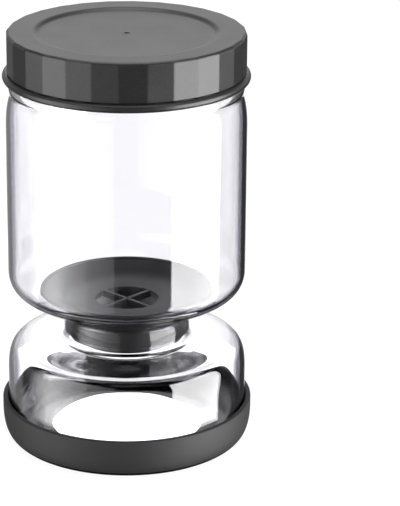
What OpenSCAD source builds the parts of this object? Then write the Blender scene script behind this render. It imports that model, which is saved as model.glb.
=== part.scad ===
// Hourglass keeper: one blown glass jar with a tall upper chamber, a waist and a low
// lower chamber, a lift-out strainer in the waist, a faceted screw lid and a base boot.
// It stands on the boot. Z is up and the origin is the centre of the boot's underside.

/* [Glass jar] */
// Outer diameter of the upper chamber
upper_d = 102.7; // [99:0.1:110]
// Outer diameter of the lower chamber
lower_d = 103.7; // [96:0.1:116]
// Outer diameter of the waist
waist_d = 54.6; // [48:0.1:60]
// Outer diameter of the mouth inside the lid
mouth_d = 94; // [90:0.1:97]
// Thickness of the blown wall
wall = 2; // [1.6:0.1:2.4]
// Thickness of the glass at the mouth
mouth_wall = 2.2; // [1.8:0.1:3]
// Thickness of the glass bottom
bottom_t = 3; // [2.4:0.1:5]
// Height of the lower chamber, from the glass bottom to the foot of the waist
lower_h = 40.9; // [36:0.1:60]
// Height of the waist, from its foot to the rounded floor of the upper chamber
waist_h = 17; // [15:0.1:24]
// Height of the upper chamber, from its floor to the groove under the lid
upper_h = 94.1; // [70:0.1:160]
// Height of the mouth, from the groove to the rim
mouth_h = 22; // [18:0.1:28]

/* [Glass curves] */
// Radius of the heel between the lower wall and the bottom
heel_r = 12; // [8:0.5:18]
// Radius of the hollow between the waist and the lower shoulder
foot_r = 2; // [1.5:0.1:5]
// Width of the even slope between that hollow and the lower shoulder's curve
slope_w = 5; // [3:0.1:7]
// Height of the lower shoulder's curve
shoulder_h = 14.1; // [12:0.1:18]
// Height of the bowl that forms the upper chamber's floor
bowl_h = 15.85; // [13:0.05:22]
// Slope of the bowl where it turns down into the waist
bowl_slope = 27; // [22:1:32]
// Reach of the flare between the waist and the bowl
flare_w = 4.5; // [3:0.1:6]
// Height of the flare between the waist and the bowl
flare_h = 6.4; // [5:0.1:7]
// Reach of the rounded bead that carries the lid's edge
bead_w = 2.9; // [2.5:0.1:3.4]
// Depth of the groove below the bead
groove_t = 0.5; // [0.2:0.1:0.8]
// Height of the curve from the groove down to the upper wall
neck_in_h = 14; // [10:0.5:20]

/* [Lid] */
// Thickness of the lid's top
lid_top_t = 3.4; // [2.8:0.1:5]
// Thickness of the lid's side at the middle of a facet
lid_wall = 1.9; // [1.5:0.1:3]
// Number of flat facets around the lid
facets = 28; // [18:1:36]
// Radius of the lid's upper edge
lid_edge_r = 1.5; // [0.8:0.1:2.2]
// Thickness of the round flange at the lid's lower edge
flange_t = 3.4; // [2.6:0.1:4.4]
// Reach of the flange beyond the facets
flange_w = 2.1; // [1.4:0.1:3]
// Height of the shadow groove between the flange and the facets
shadow_h = 0.5; // [0.3:0.1:1]
// Width of the flat border around the recess in the lid's top
border_w = 10.4; // [7:0.1:16]
// Width of the rounded step from the border down to the recess
step_w = 4; // [2:0.1:8]
// Depth of the recess in the lid's top
recess_d = 1.1; // [0.5:0.1:1.4]
// Room between the mouth and the lid's side, where the screw thread runs
thread_room = 1.5; // [1:0.1:2]
// Thickness of the gasket under the lid
gasket_t = 1.6; // [1:0.1:2.4]
// Height of the ring that centres the gasket in the lid
keeper_h = 4; // [2.5:0.1:6]
// Thickness of the ring that centres the gasket in the lid
keeper_t = 1.2; // [1:0.1:2]

/* [Strainer] */
// Diameter of the strainer's dish
dish_d = 75.2; // [68:0.1:80]
// Thickness of the dish
dish_t = 1.3; // [1:0.1:2]
// Height of the lip around the dish
lip_h = 1; // [0.5:0.1:2]
// Thickness of the lip around the dish
lip_t = 1.4; // [1:0.1:2.4]
// Drop from the bowl of the dish to its flat floor
floor_drop = 1.9; // [1.4:0.1:2.4]
// Thickness of the flat floor
floor_t = 1.8; // [1.4:0.1:2.6]
// Diameter of the drain in the floor
drain_d = 27.2; // [20:0.1:32]
// Width of the crossed bars in the drain
bar_w = 1.5; // [1:0.1:3]
// Depth of the crossed bars in the drain
bar_t = 3.2; // [2:0.1:5]
// Thickness of the spigot's wall
spigot_t = 1.8; // [1.4:0.1:2.4]
// Thickness of the soft sleeve around the spigot
sleeve_t = 2.5; // [2:0.1:3.5]
// Length of the soft sleeve
sleeve_h = 9.2; // [7:0.1:11]
// Height of the bead that holds the sleeve on the spigot
catch_h = 2.2; // [1.2:0.1:2.6]
// Distance from the foot of the waist up to the spigot's lower end
spigot_lift = 2.1; // [1.4:0.1:3]

/* [Base boot] */
// Thickness of the boot's side
boot_wall = 2.36; // [1.8:0.02:4]
// Thickness of the boot's floor
boot_floor = 3; // [2:0.1:5]
// Height of the boot
boot_h = 17.5; // [14:0.1:26]
// Height of the boot's rounded lower corner
corner_h = 13.5; // [9:0.1:14]
// Width of the boot's rounded lower corner
corner_w = 6; // [3:0.1:7]
// Diameter of the round opening in the boot's floor
opening_d = 66; // [40:1:72]

/* [Clearances] */
// Gap between a fitted piece and the glass
fit_gap = 0.3; // [0.2:0.05:0.4]
// Gap between the sleeve and its spigot
sleeve_gap = 0.05; // [0.03:0.01:0.1]
// Radius on the edges of the glass rim
rim_round = 0.8; // [0.4:0.1:0.9]
// Radius on the free edges of the soft pieces
soft_round = 0.6; // [0.3:0.1:0.8]

/* [Hidden] */
$fn = 96;
slack = 1;            // how far a cutter runs past the face that it cuts
curve_steps = 12;     // straight steps along one curve of an outline
arc_steps = 6;        // straight steps along one small rounding

// Radii
upper_r = upper_d / 2;
lower_r = lower_d / 2;
waist_r = waist_d / 2;
mouth_r = mouth_d / 2;
groove_r = mouth_r + bead_w - groove_t;
mouth_bore_r = mouth_r - mouth_wall;
waist_bore_r = waist_r - wall;

// Levels, from the bottom up
glass_z = boot_floor;
foot_z = glass_z + lower_h;
bowl_z = foot_z + waist_h;
groove_z = bowl_z + upper_h;
rim_z = groove_z + mouth_h;
lid_under_z = rim_z + gasket_t;
lid_top_z = lid_under_z + lid_top_t;

// Outlines are lists of [radius, height]. Points run downwards on the outside of the
// glass, and inset moves them towards the inside, square to the curve.
function bezier(p, u) =
    pow(1 - u, 3) * p[0] + 3 * u * pow(1 - u, 2) * p[1] + 3 * u * u * (1 - u) * p[2] + pow(u, 3) * p[3];
function heading(p, u) =
    pow(1 - u, 2) * (p[1] - p[0]) + 2 * u * (1 - u) * (p[2] - p[1]) + u * u * (p[3] - p[2]);
function inward(d) = [d[1], -d[0]] / norm(d);
function curve(p, inset = 0, n = curve_steps) =
    [for (i = [0:n]) bezier(p, i / n) + inset * inward(heading(p, i / n))];
function arc(centre, rx, rz, from, to, n = curve_steps) =
    [for (i = [0:n]) let (a = from + (to - from) * i / n) centre + [rx * cos(a), rz * sin(a)]];
function reversed(list) = [for (i = [len(list) - 1:-1:0]) list[i]];
function inside_of(points, r) = [for (p = points) if (p[0] < r) p];
function above(points, z) = [for (p = points) if (p[1] > z) p];

// Curves of the glass, each from its upper end to its lower end
under_bead = [
    [mouth_r + bead_w, groove_z + bead_w],
    [mouth_r + bead_w, groove_z + bead_w / 2],
    [groove_r, groove_z + bead_w / 2],
    [groove_r, groove_z]
];
neck_in = [
    [groove_r, groove_z],
    [groove_r, groove_z - 0.1 * neck_in_h],
    [upper_r, groove_z - 0.25 * neck_in_h],
    [upper_r, groove_z - neck_in_h]
];
bowl_end = [waist_r + flare_w, bowl_z];
slope_dir = [cos(bowl_slope), sin(bowl_slope)];
bowl = [
    [upper_r, bowl_z + bowl_h],
    [upper_r, bowl_z + 0.29 * bowl_h],
    bowl_end + 0.6 * (upper_r - bowl_end[0]) * slope_dir,
    bowl_end
];
flare = [
    bowl_end,
    bowl_end - 0.83 * flare_w * slope_dir,
    [waist_r, bowl_z - 0.6 * flare_h],
    [waist_r, bowl_z - flare_h]
];
// The lower shoulder leaves the waist's foot a little below level
foot_slope = 7;
foot_rise = 0.8;      // from the foot's level up to the lower end of the hollow
foot_centre = [waist_r + foot_r, foot_z + foot_rise + foot_r];
foot_end = foot_centre + foot_r * [sin(foot_slope), -cos(foot_slope)];
fall_dir = [cos(foot_slope), -sin(foot_slope)];
slope_end = foot_end + slope_w * fall_dir;
shoulder = [
    slope_end,
    slope_end + 0.69 * (lower_r - slope_end[0]) * fall_dir,
    [lower_r, slope_end[1] + 0.14 * shoulder_h],
    [lower_r, slope_end[1] - shoulder_h]
];

// The whole side of the jar below the mouth, from the bead down to the heel
function side(inset) = concat(
    curve(under_bead, inset),
    curve(neck_in, inset),
    curve(bowl, inset),
    curve(flare, inset),
    arc(foot_centre, foot_r + inset, foot_r + inset, 180, 270 + foot_slope),
    curve(shoulder, inset)
);
function heel(inset, level) =
    arc([lower_r - heel_r, level + heel_r - inset], heel_r - inset, heel_r - inset, 0, -90);
bead_top = arc([mouth_r, groove_z + bead_w], bead_w, bead_w, 90, 0);
mouth_inside = [
    [mouth_bore_r, groove_z + 2.6 * bead_w],
    [mouth_bore_r, groove_z + 1.6 * bead_w],
    [mouth_r + bead_w - wall, groove_z + 1.6 * bead_w],
    [mouth_r + bead_w - wall, groove_z + bead_w]
];
rim_top = concat(
    arc([mouth_bore_r + rim_round, rim_z - rim_round], rim_round, rim_round, 180, 90, arc_steps),
    arc([mouth_r - rim_round, rim_z - rim_round], rim_round, rim_round, 90, 0, arc_steps)
);

module glass_jar() {
    color([0.86, 0.87, 0.92, 0.4])
        rotate_extrude()
            polygon(concat(
                rim_top,
                bead_top,
                side(0),
                heel(0, glass_z),
                [[0, glass_z], [0, glass_z + bottom_t]],
                reversed(heel(wall, glass_z + bottom_t)),
                reversed(side(wall)),
                reversed(mouth_inside)
            ));
}

// Base boot: a soft cup that the heel of the glass sits in, open in the middle
boot_bore_r = lower_r + fit_gap;
boot_r = boot_bore_r + boot_wall;
boot_heel_r = heel_r + fit_gap;
// The cup follows the heel down to the flat seat that the glass bottom rests on
seat_angle = asin(heel_r / boot_heel_r);
boot_corner = [
    [boot_r, corner_h],
    [boot_r, 0.45 * corner_h],
    [boot_r - 0.25 * corner_w, 0],
    [boot_r - corner_w, 0]
];

module boot() {
    color([0.24, 0.24, 0.25])
        rotate_extrude()
            polygon(concat(
                arc([boot_r - soft_round, boot_h - soft_round], soft_round, soft_round, 90, 0, arc_steps),
                curve(boot_corner),
                arc([opening_d / 2 + soft_round, soft_round], soft_round, soft_round, 270, 180, arc_steps),
                arc([opening_d / 2 + soft_round, glass_z - soft_round], soft_round, soft_round, 180, 90, arc_steps),
                arc([lower_r - heel_r, glass_z + heel_r], boot_heel_r, boot_heel_r, -seat_angle, 0),
                arc([boot_bore_r + soft_round, boot_h - soft_round], soft_round, soft_round, 180, 90, arc_steps)
            ));
}

// Strainer: a dish that lies on the bowl of the jar, with a spigot down into the waist
dish_r = dish_d / 2;
drain_r = drain_d / 2;
sleeve_r = waist_bore_r - fit_gap;
spigot_r = sleeve_r - sleeve_t;
spigot_bore_r = spigot_r - spigot_t;
catch_r = sleeve_r - soft_round;
seat_line = concat(curve(bowl, wall + fit_gap), curve(flare, wall + fit_gap));
dish_line = curve(bowl, wall + fit_gap + dish_t);
dish_inner = dish_line[len(dish_line) - 1];
dish_floor_z = dish_inner[1] - floor_drop;
dish_bend = [
    dish_inner,
    dish_inner - 2 * floor_drop * slope_dir,
    [dish_inner[0] - 3 * floor_drop, dish_floor_z],
    [dish_inner[0] - 5 * floor_drop, dish_floor_z]
];
lip_z = lookup(dish_r - lip_t, dish_line) + lip_h;
spigot_z = foot_z + spigot_lift;
sleeve_z = spigot_z + catch_h;
sleeve_top_z = sleeve_z + sleeve_h;

module strainer() {
    color([0.27, 0.27, 0.28]) {
        rotate_extrude()
            polygon(concat(
                [[drain_r, dish_floor_z]],
                reversed(curve(dish_bend)),
                reversed(inside_of(dish_line, dish_r - lip_t)),
                [[dish_r - lip_t, lookup(dish_r - lip_t, dish_line)]],
                arc([dish_r - lip_t / 2, lip_z - lip_t / 2], lip_t / 2, lip_t / 2, 180, 0, arc_steps),
                [[dish_r, lookup(dish_r, seat_line)]],
                above(inside_of(seat_line, dish_r), sleeve_top_z),
                [
                    [sleeve_r, sleeve_top_z],
                    [spigot_r, sleeve_top_z],
                    [spigot_r, sleeve_z],
                    [catch_r, sleeve_z],
                    [catch_r, sleeve_z - 0.7 * catch_h],
                    [spigot_r, spigot_z],
                    [spigot_bore_r, spigot_z],
                    [spigot_bore_r, dish_floor_z - floor_t],
                    [drain_r, dish_floor_z - floor_t]
                ]
            ));
        for (turn = [45, 135])
            rotate([0, 0, turn])
                translate([-drain_r - slack, -bar_w / 2, dish_floor_z - bar_t])
                    cube([2 * (drain_r + slack), bar_w, bar_t]);
    }
}

// Soft sleeve that grips the bore of the waist
module strainer_sleeve() {
    color([0.16, 0.16, 0.17])
        rotate_extrude()
            polygon(concat(
                arc([sleeve_r - soft_round, sleeve_top_z - soft_round], soft_round, soft_round, 90, 0, arc_steps),
                arc([sleeve_r - soft_round, sleeve_z + soft_round], soft_round, soft_round, 0, -90, arc_steps),
                [[spigot_r + sleeve_gap, sleeve_z], [spigot_r + sleeve_gap, sleeve_top_z]]
            ));
}

// Lid
lid_bore_r = mouth_r + thread_room;
facet_r = lid_bore_r + lid_wall;                    // to the middle of a facet
facet_corner_r = facet_r / cos(180 / facets);
facet_phase = 266.5;                                // direction of one facet corner
edge_r = facet_corner_r + 0.2;                      // where the rounding meets the upright
keeper_r = mouth_bore_r - fit_gap;
skirt_z = groove_z + 2 * bead_w + 0.5;              // lower face of the flange, clear of the bead
facet_z = skirt_z + flange_t + shadow_h;
flange_round_r = flange_t / 2;
flange_r = facet_r + flange_w;
recess_r = facet_r - border_w;
gate_r = 1.4;
gate_depth = 0.3;
recess_step = [
    [recess_r, lid_top_z],
    [recess_r - 0.4 * step_w, lid_top_z],
    [recess_r - 0.6 * step_w, lid_top_z - recess_d],
    [recess_r - step_w, lid_top_z - recess_d]
];

module lid_gasket() {
    color([0.75, 0.75, 0.73])
        translate([0, 0, rim_z])
            difference() {
                cylinder(h = gasket_t, r = lid_bore_r - fit_gap);
                translate([0, 0, -slack]) cylinder(h = gasket_t + 2 * slack, r = keeper_r + fit_gap);
            }
}

module lid() {
    color([0.25, 0.25, 0.26])
        difference() {
            union() {
                // Faceted cap with a rounded upper edge
                intersection() {
                    translate([0, 0, facet_z])
                        linear_extrude(lid_top_z - facet_z)
                            polygon([
                                for (i = [0:facets - 1])
                                    let (a = facet_phase + 360 * i / facets)
                                        facet_corner_r * [cos(a), sin(a)]
                            ]);
                    rotate_extrude()
                        polygon(concat(
                            [[0, lid_top_z]],
                            arc([edge_r - lid_edge_r, lid_top_z - lid_edge_r], lid_edge_r, lid_edge_r, 90, 0, arc_steps),
                            [[edge_r, facet_z - slack], [0, facet_z - slack]]
                        ));
                }
                // Round flange below a narrow shadow groove
                rotate_extrude()
                    polygon(concat(
                        [[0, facet_z + slack], [facet_r - shadow_h, facet_z + slack]],
                        [[facet_r - shadow_h, skirt_z + flange_t]],
                        arc([flange_r - flange_round_r, skirt_z + flange_round_r], flange_round_r, flange_round_r, 90, -90),
                        [[0, skirt_z]]
                    ));
            }
            // Inside of the lid, around the ring that centres the gasket
            translate([0, 0, skirt_z - slack])
                difference() {
                    cylinder(h = lid_under_z - skirt_z + slack, r = lid_bore_r);
                    translate([0, 0, lid_under_z - keeper_h - skirt_z + slack])
                        difference() {
                            cylinder(h = keeper_h + slack, r = keeper_r);
                            cylinder(h = keeper_h + slack, r = keeper_r - keeper_t);
                        }
                }
            // Recess in the top, with the small mark that the mould leaves
            rotate_extrude()
                polygon(concat(
                    [[0, lid_top_z + slack], [recess_r, lid_top_z + slack]],
                    curve(recess_step),
                    [[0, lid_top_z - recess_d]]
                ));
            translate([0, 0, lid_top_z - recess_d - gate_depth])
                cylinder(h = recess_d, r = gate_r);
        }
}

boot();
glass_jar();
strainer();
strainer_sleeve();
lid_gasket();
lid();
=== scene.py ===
"""An hourglass pickle keeper: glass jar, lift-out strainer, faceted screw lid and base boot."""
import math

import bmesh
import bpy
import numpy as np
from mathutils import Matrix, Vector


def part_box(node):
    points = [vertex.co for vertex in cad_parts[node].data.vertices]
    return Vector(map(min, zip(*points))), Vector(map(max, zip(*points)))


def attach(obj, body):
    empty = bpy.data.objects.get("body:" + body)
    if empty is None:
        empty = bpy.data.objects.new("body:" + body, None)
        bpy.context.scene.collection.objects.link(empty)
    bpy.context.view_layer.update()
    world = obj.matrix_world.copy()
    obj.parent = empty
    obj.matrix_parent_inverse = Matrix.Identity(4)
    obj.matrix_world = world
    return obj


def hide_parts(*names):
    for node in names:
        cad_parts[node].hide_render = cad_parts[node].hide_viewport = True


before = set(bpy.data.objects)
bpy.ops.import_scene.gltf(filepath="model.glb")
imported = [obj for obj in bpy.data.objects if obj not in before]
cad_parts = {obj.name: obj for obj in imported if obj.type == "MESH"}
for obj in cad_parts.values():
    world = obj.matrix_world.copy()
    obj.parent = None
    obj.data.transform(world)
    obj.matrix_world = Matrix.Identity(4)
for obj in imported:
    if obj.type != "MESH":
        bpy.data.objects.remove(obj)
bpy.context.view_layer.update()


# The camera stands about a metre in front of the keeper and looks down on it by 20 degrees
# through a long lens. The lens is worked out from the photograph's focal length in pixels,
# and a trace of yaw and roll puts the keeper where the photograph has it.
image_h_px = 506
focal_px = 2498
sensor_mm = 36
tilt = math.radians(20.206)
yaw = math.radians(1.787)
roll = math.radians(0.553)
reach = 1.081
aim_z = 0.08283
nearest = 0.01


def look(place, forward, roll):
    """The camera's matrix: forward is where it looks, roll turns its right and up about that."""
    right = np.cross(forward, (0, 0, 1))
    right = right / np.linalg.norm(right)
    up = np.cross(right, forward)
    turned_right = math.cos(roll) * right + math.sin(roll) * up
    turned_up = -math.sin(roll) * right + math.cos(roll) * up
    matrix = np.eye(4)
    matrix[:3] = np.stack([turned_right, turned_up, -forward, place], 1)
    return Matrix(matrix.tolist())


eye = np.array([0, -reach * math.cos(tilt), aim_z + reach * math.sin(tilt)])
forward = np.array([
    math.sin(yaw) * math.cos(tilt), math.cos(yaw) * math.cos(tilt), -math.sin(tilt),
])
camera_data = bpy.data.cameras.new("camera")
camera_data.sensor_width = sensor_mm
camera_data.lens = focal_px / image_h_px * sensor_mm
camera_data.clip_start = nearest
camera = bpy.data.objects.new("camera", camera_data)
camera.matrix_world = look(eye, forward, roll)
bpy.context.scene.collection.objects.link(camera)
bpy.context.scene.camera = camera
bpy.context.scene.view_settings.view_transform = "Standard"


# The stage is a pale floor that runs out to a white surround. Node trees are written with
# two small classes: arithmetic on a Wire adds Math nodes, and Shade.node adds any other node.
class Wire:
    """One output of a node. Arithmetic with numbers or other wires adds Math nodes."""

    def __init__(self, shade, output):
        self.shade, self.output = shade, output

    def math(self, operation, *values):
        return self.shade.node("Math", {"operation": operation}, dict(enumerate(values)))

    def __add__(self, other):
        return self.math("ADD", self, other)

    __radd__ = __add__

    def __sub__(self, other):
        return self.math("SUBTRACT", self, other)

    def __rsub__(self, other):
        return self.math("SUBTRACT", other, self)

    def __mul__(self, other):
        return self.math("MULTIPLY", self, other)

    def __gt__(self, other):
        return self.math("GREATER_THAN", self, other)

    def __abs__(self):
        return self.math("ABSOLUTE", self)

    def larger(self, other):
        return self.math("MAXIMUM", self, other)

    def ramp(self, start, end, low=0.0, high=1.0):
        """Goes from low to high while this goes from start to end, and stays there beyond."""
        return self.shade.node("MapRange", {}, {
            "Value": self, "From Min": start, "From Max": end, "To Min": low, "To Max": high,
        })


class Shade:
    """A node tree that is being written, of a new material, of a lamp or of the world."""

    def __init__(self, owner):
        owner.use_nodes = True
        self.owner, self.tree = owner, owner.node_tree
        self.tree.nodes.clear()

    def node(self, kind, settings=None, sockets=None, out=0):
        """Adds a node, sets its settings first, then its sockets to numbers, colours or wires."""
        made = self.tree.nodes.new("ShaderNode" + kind)
        for name, value in (settings or {}).items():
            if name == "stops":
                stops = made.color_ramp.elements
                while len(stops) < len(value):
                    stops.new(0.5)
                for stop, (position, grey) in zip(stops, value):
                    stop.position, stop.color = position, (grey, grey, grey, 1)
            else:
                setattr(made, name, value)
        for name, value in (sockets or {}).items():
            if isinstance(value, Wire):
                self.tree.links.new(value.output, made.inputs[name])
            else:
                made.inputs[name].default_value = value
        return Wire(self, made.outputs[out])

    def mix(self, share, start, end):
        """Mixes two colours: start where the share is 0, end where it is 1."""
        sockets = {"Factor": share, "A": start, "B": end}
        return self.node("Mix", {"data_type": "RGBA"}, sockets, out="Result")

    def axes(self, vector, letters):
        """Those of a vector's parts that letters names."""
        return (self.node("SeparateXYZ", {}, {0: vector}, out=letter) for letter in letters)

    def finish(self, surface, target="OutputMaterial"):
        end = self.tree.nodes.new("ShaderNode" + target)
        self.tree.links.new(surface.output, end.inputs["Surface"])
        return self.owner


floor_reach = 3.0
floor_colour = (0.80, 0.80, 0.80, 1)
white = (1, 1, 1, 1)
glow = 1.25
glow_share = 0.75
# The glow, reach and soft edge of the floor's painted shadow inside the boot's opening
dimmed_glow = 0.85
dimmed_r, dimmed_blur = 0.036, 0.002
seen_through = 1.12
wedge_slope = 0.21
wedge_w = 0.05
front_y = 0.1


def sight_and_gloss(shade):
    """What the eye sees, straight or through glass, what it sees reflected, and what lights
    a matt surface. Each is 0 or about 1."""
    eye_ray, glass_ray, gloss_ray = (
        shade.node("LightPath", out=f"Is {kind} Ray")
        for kind in ("Camera", "Transmission", "Glossy")
    )
    scattered, mirrored = (
        shade.node("LightPath", out=f"{kind} Depth") > 0.5
        for kind in ("Diffuse", "Glossy")
    )
    unscattered = 1 - scattered
    straight_sight = eye_ray.larger(glass_ray * unscattered * (1 - mirrored) * seen_through)
    gloss = unscattered * gloss_ray.larger(glass_ray * mirrored)
    return straight_sight, gloss, scattered


shade = Shade(bpy.data.materials.new("floor_paper"))
place = shade.node("NewGeometry", out="Position")
place_x, place_y = shade.axes(place, "XY")
sight, gloss, _ = sight_and_gloss(shade)
paper = shade.node("BsdfDiffuse", {}, {"Color": floor_colour})
# Inside the boot's opening the floor is a little dimmer: a painted shadow under the jar
from_axis = shade.node("VectorMath", {"operation": "LENGTH"}, {0: place}, out="Value")
strength = from_axis.ramp(dimmed_r, dimmed_r + dimmed_blur, dimmed_glow, glow)
lit = shade.node("Emission", {}, {"Color": white, "Strength": strength})
seen = shade.node("MixShader", {}, {0: sight.larger(gloss) * glow_share, 1: paper, 2: lit})
# In reflections the table is a wedge behind the keeper, which leaves the glass its dark edges,
# and the side boxes shine past its front edge, from below the table's level
shadow_ray = shade.node("LightPath", out="Is Shadow Ray")
off_wedge = abs(place_x) - place_y * wedge_slope > wedge_w
in_front = front_y - place_y > 0
open_front = (shadow_ray * in_front).larger(gloss * in_front.larger(off_wedge))
clear = shade.node("BsdfTransparent")
floor_material = shade.finish(shade.node("MixShader", {}, {0: open_front, 1: seen, 2: clear}))

floor_mesh = bpy.data.meshes.new("floor")
corners = floor_reach * np.array([(-1, -1, 0), (1, -1, 0), (1, 1, 0), (-1, 1, 0)])
floor_mesh.from_pydata(corners.tolist(), [], [(0, 1, 2, 3)])
floor_mesh.materials.append(floor_material)
floor = bpy.data.objects.new("floor", floor_mesh)
bpy.context.scene.collection.objects.link(floor)

# The surround is white only where the photograph's reflections are white. Each share of white
# fades along one part of a ray's direction, which runs from -1 to 1: from none at the first
# value of a pair to all at the second.
wedge_blur = 0.03
steep_down = (-0.75, -0.55)
backward = (0.2, 0.6)
sky_fall, sky_white = (0.5, 0.3), 0.62
room_middle, room_back = (-0.1, 0.1), 0.5
room_left, room_right = 0.3, 0.05
ambient = 0.25
world = bpy.data.worlds.new("surround")
bpy.context.scene.world = world
shade = Shade(world)
side, back, up = shade.axes(shade.node("TexCoord", out="Generated"), "XYZ")
low_back = (back * wedge_slope - abs(side)).ramp(-wedge_blur, wedge_blur)
high_back = back.ramp(*backward) * (up > 0) * up.ramp(*sky_fall, high=sky_white)
room = side.ramp(*room_middle, room_left, room_right) * (back > room_back)
white_back = (low_back.larger(room) * up.ramp(*steep_down)).larger(high_back)
sight, gloss, scattered = sight_and_gloss(shade)
strength = sight + gloss * white_back + scattered * ambient
shade.finish(shade.node("Background", {}, {"Color": white, "Strength": strength}), "OutputWorld")


# Two tall softboxes stand on either side and show as the long upright reflections in the
# glass, and a broad one hangs above. Azimuths are from the camera, positive to the right.
box_distance = 1.2
box_h = 1.6


def softbox(name, place, aim, size, radiance, on_gloss=True, on_matt=True):
    """An area lamp of that radiance, turned to face aim, which shows on glossy or matt surfaces.

    One that shows on gloss alone also shows in reflections that are seen through glass."""
    data = bpy.data.lights.new(name, "AREA")
    data.shape = "RECTANGLE"
    data.size, data.size_y = size
    data.energy = radiance * math.pi * size[0] * size[1]
    lamp = bpy.data.objects.new(name, data)
    lamp.location = place
    lamp.rotation_mode = "QUATERNION"
    lamp.rotation_quaternion = (Vector(aim) - Vector(place)).to_track_quat("-Z", "Y")
    lamp.visible_camera = False
    lamp.visible_transmission = on_gloss and not on_matt
    lamp.visible_glossy, lamp.visible_diffuse = on_gloss, on_matt
    bpy.context.scene.collection.objects.link(lamp)
    return lamp


def upright_box(name, start, end, radiance, falloff):
    """A tall box whose edges lie at the azimuths start and end, in degrees.

    falloff holds (share of the width, share of the radiance) pairs of its soft brightness."""
    azimuth = np.radians([start, end])
    edges = box_distance * np.stack([np.sin(azimuth), -np.cos(azimuth), 0 * azimuth], 1)
    width = float(np.linalg.norm(edges[0] - edges[1]))
    middle = edges.mean(0).tolist()
    lamp = softbox(name, middle, (0, 0, 0), (width, box_h), radiance, on_matt=False)
    shade = Shade(lamp.data)
    across, = shade.axes(shade.node("NewGeometry", out="Parametric"), "X")
    bright = shade.node("ValToRGB", {"stops": falloff}, {"Fac": across})
    sight, _, _ = sight_and_gloss(shade)
    unseen = (1 - sight).larger(0)
    shade.finish(shade.node("Emission", {}, {"Color": bright, "Strength": unseen}), "OutputLight")


upright_box("right_box", 43, 98, 9, [(0, 1), (1, 0.9)])
upright_box("left_box", -12, -108, 4.6, [
    (0.05, 0.03), (0.14, 0.2), (0.34, 0.93), (0.42, 1), (0.56, 0.6), (0.71, 0.27), (0.95, 0.12),
])
softbox("top_box", (0, 0.15, 1.2), (0, 0, 0.1), (1.2, 1.0), 2.2)
softbox("right_fill", (1.1, -0.5, 0.5), (0, 0, 0.05), (0.9, 0.9), 3.2, on_gloss=False)


# The jar is blown in one piece of clear glass: a wide mouth with a bead and a groove, a
# tall upper chamber with a rounded floor, a narrow waist and a low lower chamber with a
# soft shoulder and heel. Its wall is even, so the inside follows the outside.
mm = 0.001
hair = 0.01 * mm
wall = 2 * mm
mouth_wall = 2.2 * mm
bottom_t = 3 * mm
upper_r = 51.35 * mm
lower_r = 51.85 * mm
waist_r = 27.3 * mm
mouth_r = 47 * mm
bore_r = mouth_r - mouth_wall
jar_low, jar_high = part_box("glass_jar")
glass_z, rim_z = jar_low.z, jar_high.z
foot_z = glass_z + 40.9 * mm
bowl_z = foot_z + 17 * mm
groove_z = rim_z - 22 * mm
bead_w = 2.9 * mm
bead_r = mouth_r + bead_w
groove_r = bead_r - 0.5 * mm
neck_in_h = 14 * mm
bowl_h = 15.85 * mm
bowl_slope = math.radians(27)
flare_w, flare_h = 4.5 * mm, 6.4 * mm
foot_r = 1.4 * mm
foot_slope = math.radians(7)
foot_rise = 1.5 * mm
slope_w = 5 * mm
shoulder_z = foot_z + 0.7 * mm
shoulder_h = 14.1 * mm
heel_r = 12 * mm
rim_round = 0.8 * mm
thread_h, thread_w, thread_pitch = 1.1 * mm, 1.3 * mm, 5 * mm
thread_rows = 36
thread_fade = 2 * mm
thread_low, thread_high = groove_z + 2 * bead_w + 2 * mm, rim_z - 2.5 * mm
weld = 1e-7
crisp = math.radians(35)


def bend(controls, inset=0.0, steps=24):
    """A cubic Bezier curve through (radius, height) controls, moved square to itself by inset."""
    a, b, c, d = np.array(controls, float)
    u = np.linspace(0, 1, steps + 1)[:, None]
    v = 1 - u
    point = v ** 3 * a + 3 * u * v ** 2 * b + 3 * u * u * v * c + u ** 3 * d
    along = v ** 2 * (b - a) + 2 * u * v * (c - b) + u * u * (d - c)
    along = along / np.linalg.norm(along, axis=1)[:, None]
    return point + inset * np.stack([along[:, 1], -along[:, 0]], 1)


def arc(centre, radius, start, end, steps=6):
    """Points of a circle about centre from the angle start to end, in degrees."""
    a = np.radians(np.linspace(start, end, steps + 1))[:, None]
    return np.array(centre) + radius * np.concatenate([np.cos(a), np.sin(a)], 1)


def turned(name, outline, sides=224, closed=False, shape=None):
    """A lathe-turned surface: each (radius, height) of outline goes round the Z axis.

    shape(radius, height, angle) may change the radius from place to place. A closed outline
    joins its end to its start. An open one starts and ends on the axis, where its ring
    becomes one point. Edges that turn by more than the angle crisp are left crisp."""
    outline = np.array(outline, float)
    count = len(outline)
    angle = np.linspace(0, 2 * np.pi, sides, endpoint=False)[:, None]
    radius = np.broadcast_to(outline[None, :, 0], (sides, count))
    height = np.broadcast_to(outline[None, :, 1], (sides, count))
    if shape is not None:
        radius = shape(radius, height, angle)
    points = np.stack([radius * np.cos(angle), radius * np.sin(angle), height], -1).reshape(-1, 3)
    row = np.arange(sides)[:, None] * count
    beside = (row + count) % (sides * count)
    step = np.arange(count if closed else count - 1)[None, :]
    after = (step + 1) % count
    faces = np.stack([row + step, beside + step, beside + after, row + after], -1).reshape(-1, 4)
    mesh = bpy.data.meshes.new(name)
    mesh.from_pydata(points.tolist(), [], faces.tolist())
    joined = bmesh.new()
    joined.from_mesh(mesh)
    bmesh.ops.remove_doubles(joined, verts=joined.verts, dist=weld)
    bmesh.ops.recalc_face_normals(joined, faces=joined.faces)
    joined.to_mesh(mesh)
    joined.free()
    mesh.shade_smooth()
    mesh.set_sharp_from_angle(angle=crisp)
    piece = bpy.data.objects.new(name, mesh)
    bpy.context.scene.collection.objects.link(piece)
    return piece


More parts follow.
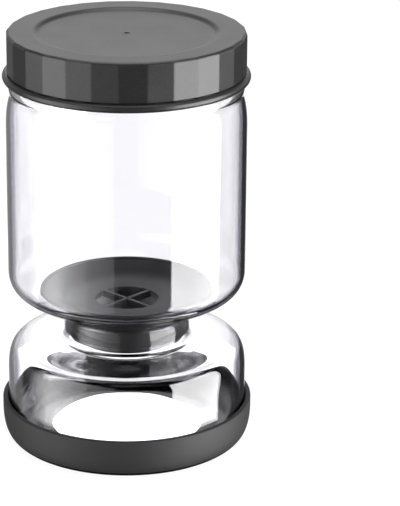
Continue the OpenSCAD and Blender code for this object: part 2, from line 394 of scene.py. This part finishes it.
def screw_ridge(height, angle, depth, low, high, fade, shift=0.0):
    """How far one screw ridge stands out: it falls off from a helix as a bell.

    It runs out over the length fade at its low and high ends. shift is a share of a turn."""
    rise = (height - thread_low) / thread_pitch - angle / (2 * np.pi) - shift
    away = (rise - np.round(rise)) * thread_pitch
    ends = np.clip((height - low) / fade, 0, 1) * np.clip((high - height) / fade, 0, 1)
    return depth * np.exp(-2 * (away / thread_w) ** 2) * ends


bowl_end = np.array([waist_r + flare_w, bowl_z])
slope_dir = np.array([math.cos(bowl_slope), math.sin(bowl_slope)])
inside_mouth = [
    (bore_r, groove_z + 2.6 * bead_w), (bore_r, groove_z + 1.6 * bead_w),
    (bead_r - wall, groove_z + 1.6 * bead_w), (bead_r - wall, groove_z + bead_w),
]
under_bead = [
    (bead_r, groove_z + bead_w), (bead_r, groove_z + bead_w / 2),
    (groove_r, groove_z + bead_w / 2), (groove_r, groove_z),
]
neck_in = [
    (groove_r, groove_z), (groove_r, groove_z - 0.1 * neck_in_h),
    (upper_r, groove_z - 0.25 * neck_in_h), (upper_r, groove_z - neck_in_h),
]
bowl = [
    (upper_r, bowl_z + bowl_h), (upper_r, bowl_z + 0.29 * bowl_h),
    bowl_end + 0.6 * (upper_r - bowl_end[0]) * slope_dir, bowl_end,
]
flare = [
    bowl_end, bowl_end - 0.83 * flare_w * slope_dir,
    (waist_r, bowl_z - 0.6 * flare_h), (waist_r, bowl_z - flare_h),
]
foot_centre = np.array([waist_r + foot_r, foot_z + foot_rise + foot_r])
foot_end = foot_centre + foot_r * np.array([math.sin(foot_slope), -math.cos(foot_slope)])
fall_dir = np.array([math.cos(foot_slope), -math.sin(foot_slope)])
slope_end = foot_end + slope_w * fall_dir
shoulder = [
    slope_end, slope_end + 0.69 * (lower_r - slope_end[0]) * fall_dir,
    (lower_r, shoulder_z + 0.14 * shoulder_h), (lower_r, shoulder_z - shoulder_h),
]


def bowl_and_flare(inset):
    """The jar's side from the top of the bowl down to the waist, moved inwards by inset."""
    return bend(bowl, inset, 40), bend(flare, inset, 16)[1:]


def jar_side(inset):
    """The jar's side from the bowl down to the top of the heel, moved inwards by inset."""
    return np.concatenate([
        *bowl_and_flare(inset),
        arc(foot_centre, foot_r + inset, 180, 270 + math.degrees(foot_slope), 20),
        bend(shoulder, inset, 36),
    ])


def jar_heel(inset, level):
    """The round heel between the side and a bottom at that level."""
    return arc((lower_r - heel_r, level + heel_r - inset), heel_r - inset, 0, -90, 24)


def with_thread(radius, height, angle):
    """Adds the screw ridge outside the mouth."""
    ridge = screw_ridge(height, angle, thread_h, thread_low, thread_high, thread_fade)
    return radius + ridge * (radius > mouth_r - hair) * (height > thread_low)


jar_outline = np.concatenate([
    [(0, glass_z + bottom_t)],
    jar_heel(wall, glass_z + bottom_t)[::-1],
    jar_side(wall)[::-1],
    bend(neck_in, wall)[::-1],
    bend(under_bead, wall, 8)[::-1][1:],
    bend(inside_mouth, 0, 12)[::-1],
    arc((bore_r + rim_round, rim_z - rim_round), rim_round, 180, 90),
    arc((mouth_r - rim_round, rim_z - rim_round), rim_round, 90, 0),
    np.linspace(
        (mouth_r, rim_z - rim_round), (mouth_r, groove_z + 2 * bead_w), thread_rows + 1
    )[1:],
    arc((mouth_r, groove_z + bead_w), bead_w, 90, 0, 12)[1:],
    bend(under_bead, 0, 8)[1:],
    bend(neck_in)[1:],
    jar_side(0),
    jar_heel(0, glass_z),
    [(0, glass_z)],
])
jar = turned("glass_jar_blown", jar_outline, shape=with_thread)

# The violet edge colour and its stops are painted shade for the glass's outlines
clear_tint, edge_tint = (0.982, 0.977, 1, 1), (0.20, 0.19, 0.27, 1)
edge_stops = [(0.68, 0), (0.78, 1), (0.86, 1), (0.94, 0.3)]
shade = Shade(bpy.data.materials.new("clear_blown_glass"))
grain = shade.node("TexCoord", out="Object")
stretch = shade.node("Mapping", {}, {"Vector": grain, "Scale": (60, 60, 16)})
waves = shade.node("TexNoise", {}, {"Vector": stretch, "Scale": 1, "Detail": 1}, out="Fac")
ripple = shade.node("Bump", {}, {"Height": waves, "Strength": 0.05, "Distance": 0.6 * mm})
# Seen edge on, the glass takes a dark violet colour, so every outline has a dark violet line:
# painted shade that stands for the dark room mirrored in the glass's edges
facing = shade.node("LayerWeight", {}, {"Blend": 0.5}, out="Facing")
edge_on = shade.node("ValToRGB", {"stops": edge_stops}, {"Fac": facing})
glass = shade.node("BsdfPrincipled", {}, {
    "Base Color": shade.mix(edge_on, clear_tint, edge_tint), "Roughness": 0, "IOR": 1.5,
    "Transmission Weight": 1, "Normal": ripple,
})
jar.data.materials.append(shade.finish(glass))
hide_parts("glass_jar")
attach(jar, "jar")


# The boot is a soft cup of dark grey silicone that the heel of the jar is pushed into. It
# is moulded with a round lower corner, an open middle and a thin rounded rim.
fit_gap = 0.3 * mm
boot_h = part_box("boot")[1].z
boot_bore_r = lower_r + fit_gap
boot_r = boot_bore_r + 2.36 * mm
corner_h, corner_w = 13.5 * mm, 6 * mm
opening_r = 33 * mm
soft_round = 0.6 * mm
boot_heel_r = heel_r + fit_gap
seat_angle = math.degrees(math.asin(heel_r / boot_heel_r))
boot_corner = [
    (boot_r, corner_h), (boot_r, 0.45 * corner_h),
    (boot_r - 0.25 * corner_w, 0), (boot_r - corner_w, 0),
]
boot_outline = np.concatenate([
    arc((boot_r - soft_round, boot_h - soft_round), soft_round, 90, 0),
    bend(boot_corner),
    arc((opening_r + soft_round, soft_round), soft_round, 270, 180),
    arc((opening_r + soft_round, glass_z - soft_round), soft_round, 180, 90),
    arc((lower_r - heel_r, glass_z + heel_r), boot_heel_r, -seat_angle, 0, 24),
    arc((boot_bore_r + soft_round, boot_h - soft_round), soft_round, 180, 90),
])
boot = turned("boot_cup", boot_outline, closed=True)


def matte(name, colour, roughness, grain_size, depth, fleck, gloss_level=0.5):
    """A moulded surface: fine grain in the bump, and a fleck of lighter and darker colour."""
    shade = Shade(bpy.data.materials.new(name))
    where = shade.node("TexCoord", out="Object")
    fine, broad = (
        shade.node("TexNoise", {}, {"Vector": where, "Scale": scale, "Detail": detail}, out="Fac")
        for scale, detail in ((1 / grain_size, 3), (60, 2))
    )
    bump = shade.node("Bump", {}, {"Height": fine, "Strength": 0.5, "Distance": depth})
    dark, light = (tuple(c * tone for c in colour) + (1,) for tone in (1 - fleck, 1 + fleck))
    return shade.finish(shade.node("BsdfPrincipled", {}, {
        "Base Color": shade.mix(fine, dark, light), "Normal": bump,
        "Roughness": roughness + (broad - 0.5) * 0.08, "Specular IOR Level": gloss_level,
    }))


dark_grey = (0.036, 0.036, 0.038)
boot.data.materials.append(matte(
    "boot_silicone", dark_grey, roughness=0.62,
    grain_size=0.3 * mm, depth=0.04 * mm, fleck=0.2, gloss_level=0.3,
))
# Where the glass lies against it, the silicone is near black: partly the real darkening of silicone
# pressed on glass, partly painted shade for the boot's shut-in inside
boot.data.materials.append(matte(
    "boot_inner_painted_shade", (0.006, 0.006, 0.007), roughness=0.8,
    grain_size=0.3 * mm, depth=0.04 * mm, fleck=0.2, gloss_level=0.05,
))
# The faces inside the bore take the near-black copy, which is painted shade
middles = np.empty(3 * len(boot.data.polygons))
boot.data.polygons.foreach_get("center", middles)
from_axis = np.hypot(middles[0::3], middles[1::3])
inner = (from_axis < boot_bore_r + soft_round / 2) & (middles[2::3] > soft_round)
boot.data.polygons.foreach_set("material_index", inner.astype(np.int32))
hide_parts("boot")
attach(boot, "boot")


# The strainer is one moulding of dark grey plastic: a dish that lies on the bowl of the
# jar, a flat floor with a round drain, and a spigot that goes down into the waist.
edge = 0.15 * mm
dish_r, dish_t = 37.6 * mm, 1.3 * mm
lip_h, lip_t = 1 * mm, 1.4 * mm
floor_drop, floor_t = 1.9 * mm, 1.8 * mm
drain_r = 13.6 * mm
bar_w, bar_t, bar_hold, bar_round = 1.5 * mm, 3.2 * mm, 0.8 * mm, 0.2 * mm
sleeve_r, sleeve_h = waist_r - wall - fit_gap, 9.2 * mm
spigot_r = sleeve_r - 2.5 * mm
spigot_bore_r = spigot_r - 1.8 * mm
catch_r, catch_h = sleeve_r - soft_round, 2.2 * mm
spigot_z = foot_z + 2 * mm
sleeve_z = spigot_z + catch_h
sleeve_top_z = sleeve_z + sleeve_h


def height_on(line, radius):
    """The height at which a falling line passes a radius."""
    order = np.argsort(line[:, 0])
    return float(np.interp(radius, line[order, 0], line[order, 1]))


seat_line = np.concatenate(bowl_and_flare(wall + fit_gap))
dish_line = bend(bowl, wall + fit_gap + dish_t, 40)
dish_inner = dish_line[-1]
dish_floor_z = dish_inner[1] - floor_drop
dish_bend = [
    dish_inner, dish_inner - 2 * floor_drop * slope_dir,
    (dish_inner[0] - 3 * floor_drop, dish_floor_z), (dish_inner[0] - 5 * floor_drop, dish_floor_z),
]
lip_base_z = height_on(dish_line, dish_r - lip_t)
lip_z = lip_base_z + lip_h
drain_z = dish_floor_z - floor_t
dish_outline = np.concatenate([
    [(drain_r, dish_floor_z - edge), (drain_r + edge, dish_floor_z)],
    bend(dish_bend, 0, 16)[::-1],
    dish_line[dish_line[:, 0] < dish_r - lip_t][::-1],
    [(dish_r - lip_t, lip_base_z)],
    arc((dish_r - lip_t / 2, lip_z - lip_t / 2), lip_t / 2, 180, 0, 12),
    [(dish_r, height_on(seat_line, dish_r))],
    seat_line[(seat_line[:, 0] < dish_r) & (seat_line[:, 1] > sleeve_top_z)],
    [(sleeve_r, sleeve_top_z), (spigot_r, sleeve_top_z), (spigot_r, sleeve_z)],
    [(catch_r, sleeve_z), (catch_r, sleeve_z - 0.7 * catch_h), (spigot_r, spigot_z)],
    [(spigot_bore_r, spigot_z), (spigot_bore_r, drain_z), (drain_r, drain_z)],
])
dish = turned("strainer_dish", dish_outline, closed=True)
strainer_plastic = matte(
    "strainer_plastic", dark_grey, roughness=0.38, grain_size=0.5 * mm, depth=0.02 * mm, fleck=0.08,
)
dish.data.materials.append(strainer_plastic)
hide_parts("strainer")
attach(dish, "strainer")


def crossed_bars(name):
    """Two upright bars crossed on the axis, each a long box with its ends in the drain's wall."""
    half_l, half_w = drain_r + bar_hold, bar_w / 2
    box = np.array([
        (x, y, z) for x in (-half_l, half_l) for y in (-half_w, half_w)
        for z in (dish_floor_z - bar_t, dish_floor_z)
    ])
    sides = [(0, 1, 3, 2), (4, 6, 7, 5), (0, 4, 5, 1), (2, 3, 7, 6), (0, 2, 6, 4), (1, 5, 7, 3)]
    points, faces = [], []
    for number, turn in enumerate((45, 135)):
        a = math.radians(turn)
        spin = np.array([(math.cos(a), math.sin(a), 0), (-math.sin(a), math.cos(a), 0), (0, 0, 1)])
        points += (box @ spin).tolist()
        faces += [tuple(8 * number + corner for corner in side) for side in sides]
    mesh = bpy.data.meshes.new(name)
    mesh.from_pydata(points, [], faces)
    piece = bpy.data.objects.new(name, mesh)
    bpy.context.scene.collection.objects.link(piece)
    rounding = piece.modifiers.new("rounded_edges", "BEVEL")
    rounding.width, rounding.segments = bar_round, 2
    return piece


bars = crossed_bars("strainer_bars")
bars.data.materials.append(strainer_plastic)
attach(bars, "strainer")


# A soft sleeve of near-black silicone grips the bore of the waist, between the dish and the
# small bead on the spigot. It is drawn pressed on the glass, with no thin air gap, so that the
# waist is dark out to its edges. The gasket's moulded solid is right as it stands.
pressed_r = waist_r - wall + 0.03 * mm
sleeve_bore_r = spigot_r + 0.05 * mm
sleeve_outline = np.concatenate([
    arc((pressed_r - soft_round, sleeve_top_z - soft_round), soft_round, 90, 0, 8),
    arc((pressed_r - soft_round, sleeve_z + soft_round), soft_round, 0, -90, 8),
    [(sleeve_bore_r, sleeve_z), (sleeve_bore_r, sleeve_top_z)],
])
sleeve = turned("sleeve_ring", sleeve_outline, closed=True)
sleeve.data.materials.append(matte(
    "sleeve_silicone", (0.016, 0.016, 0.017), roughness=0.5,
    grain_size=0.3 * mm, depth=0.02 * mm, fleck=0.1,
))
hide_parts("strainer_sleeve")
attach(sleeve, "strainer")
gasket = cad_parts["lid_gasket"]
gasket.data.materials.clear()
gasket.data.materials.append(matte(
    "gasket_silicone", (0.52, 0.52, 0.50), roughness=0.5,
    grain_size=0.3 * mm, depth=0.02 * mm, fleck=0.05,
))


# The lid is a dark grey plastic cap with flat facets round its side, a rounded upper edge,
# a recess in its top and a round flange at its lower edge. A thread runs inside its side.
lid_low, lid_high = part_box("lid")
skirt_z, lid_top_z = lid_low.z, lid_high.z
lid_under_z = lid_top_z - 3.4 * mm
facets, facet_steps = 28, 24
facet_phase = math.radians(266.5)
lid_bore_r = mouth_r + 1.5 * mm
facet_r = lid_bore_r + 1.9 * mm
corner_round = 2.5 * mm
lid_edge_r = 1.5 * mm
lid_shoulder_r = facet_r - lid_edge_r
flange_t = 3.4 * mm
flange_r = facet_r + 2.1 * mm
shadow_h = 0.5 * mm
facet_z = skirt_z + flange_t + shadow_h
recess_r = facet_r - 10.4 * mm
step_w, recess_d = 4 * mm, 1.1 * mm
recess_z = lid_top_z - recess_d
gate_r, gate_depth = 1.4 * mm, 0.3 * mm
keeper_r = bore_r - fit_gap
keeper_t, keeper_h = 1.2 * mm, 4 * mm
lid_thread_h, lid_thread_fade = 0.9 * mm, 3 * mm
recess_step = [
    (recess_r, lid_top_z), (recess_r - 0.4 * step_w, lid_top_z),
    (recess_r - 0.6 * step_w, recess_z), (recess_r - step_w, recess_z),
]
lid_outline = np.concatenate([
    [(0, recess_z - gate_depth), (gate_r, recess_z - gate_depth), (gate_r + edge, recess_z)],
    bend(recess_step, 0, 16)[::-1],
    [(recess_r + edge, lid_top_z), (lid_shoulder_r - edge, lid_top_z)],
    arc((lid_shoulder_r, lid_top_z - lid_edge_r), lid_edge_r, 90, 0, 10),
    [(facet_r, facet_z + edge), (facet_r - edge, facet_z)],
    [(facet_r - shadow_h, facet_z), (facet_r - shadow_h, skirt_z + flange_t)],
    arc((flange_r - flange_t / 2, skirt_z + flange_t / 2), flange_t / 2, 90, -90, 18),
    [(lid_bore_r + edge, skirt_z)],
    np.linspace((lid_bore_r, skirt_z + edge), (lid_bore_r, lid_under_z), thread_rows + 1),
    [(keeper_r, lid_under_z), (keeper_r, lid_under_z - keeper_h)],
    [(keeper_r - keeper_t, lid_under_z - keeper_h), (keeper_r - keeper_t, lid_under_z)],
    [(0, lid_under_z)],
])


def with_facets(radius, height, angle):
    """Cuts flat facets into the side above the flange, and a screw ridge into the bore.

    A facet's distance from the axis is its middle's over the cosine of the angle from its
    middle, and its corners are rounded by a circle that lies against both neighbours."""
    half = math.pi / facets
    away = np.abs((angle - facet_phase) % (2 * half) - half)
    flat = facet_r / np.cos(away)
    centre = (facet_r - corner_round) / math.cos(half)
    slip = np.clip(centre * np.sin(half - away) / corner_round, -1, 1)
    rounded = centre * np.cos(half - away) + corner_round * np.sqrt(1 - slip ** 2)
    by_corner = np.tan(away) * facet_r > (facet_r - corner_round) * math.tan(half)
    side = np.where(by_corner, rounded, flat)
    share = np.clip((radius - recess_r) / (lid_shoulder_r - recess_r), 0, 1)
    faceted = radius + (side - facet_r) * share
    outside = (height > facet_z - hair) & (radius > recess_r)
    in_bore = np.abs(radius - lid_bore_r) < hair
    low, high = skirt_z + lid_thread_fade / 2, lid_under_z - lid_thread_fade / 2
    ridge = screw_ridge(height, angle, lid_thread_h, low, high, lid_thread_fade, shift=0.5)
    return np.where(in_bore, radius - ridge, np.where(outside, faceted, radius))


lid = turned("lid_cap", lid_outline, sides=facets * facet_steps, shape=with_facets)
lid.data.materials.append(matte(
    "lid_plastic", (0.036, 0.036, 0.037), roughness=0.31,
    grain_size=0.7 * mm, depth=0.05 * mm, fleck=0.4, gloss_level=0.42,
))
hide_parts("lid")
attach(lid, "lid")
